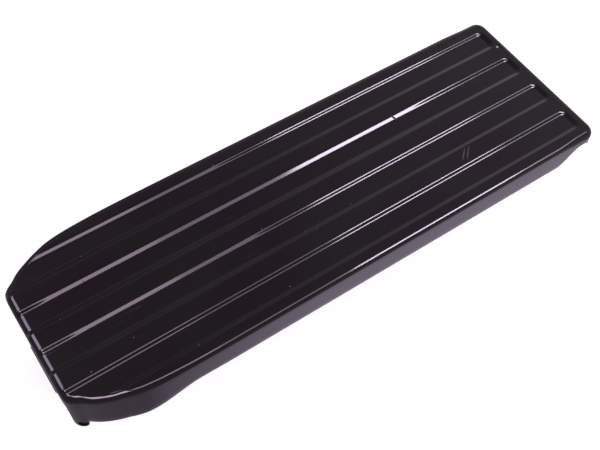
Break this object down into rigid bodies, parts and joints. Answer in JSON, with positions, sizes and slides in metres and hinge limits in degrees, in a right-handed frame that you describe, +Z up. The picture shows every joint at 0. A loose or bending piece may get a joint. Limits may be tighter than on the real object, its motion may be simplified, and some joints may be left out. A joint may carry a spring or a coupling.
{
  "type": "sewing machine pedal",
  "caption": "Ribbed, black enamelled steel tread with turned-down edges, hinged at its heel on a channel base, with a return spring, an up-stop bolt and a rubber down-stop.",
  "frame": {"origin": "on the floor, below the middle of the pedal's outer box", "axes": "+X from the hinged heel to the toe, +Z up, +Y across the tread"},
  "size_m": [0.2715, 0.0856, 0.0683],
  "materials": {
    "enamel": "glossy black stove enamel on pressed steel",
    "blackened": "satin black on steel",
    "zinc": "zinc plated",
    "spring_steel": "oiled spring wire",
    "rubber": "matt moulded rubber",
    "nylon": "natural nylon"
  },
  "bodies": {
    "base": {"base_channel": "blackened", "hinge_pin": "blackened", "hinge_sleeve_near": "nylon", "hinge_sleeve_far": "nylon", "spring_cup_lower": "zinc", "cup_rivet": "zinc", "return_spring": "spring_steel", "up_stop_washer": "rubber", "up_stop_bolt": "zinc", "up_stop_nut": "zinc", "down_stop_buffer": "rubber", "down_stop_screw": "zinc", "foot_1": "rubber", "foot_2": "rubber", "foot_3": "rubber", "foot_4": "rubber", "foot_screw_1": "zinc", "foot_screw_2": "zinc", "foot_screw_3": "zinc", "foot_screw_4": "zinc"},
    "tread": {"pedal_plate": "enamel", "spring_cup_upper": "blackened", "up_stop_bracket": "blackened", "link_tongue": "blackened"}
  },
  "joints": [
    {"name": "tread_hinge", "type": "hinge", "parent": "base", "child": "tread", "pos_m": [-0.1296, 0, 0.0085], "axis": [0, 1, 0], "range_deg": [0, 8], "stiffness_Nm_per_rad": 32, "springref_deg": -4.58, "deforming": ["return_spring"]}
  ]
}
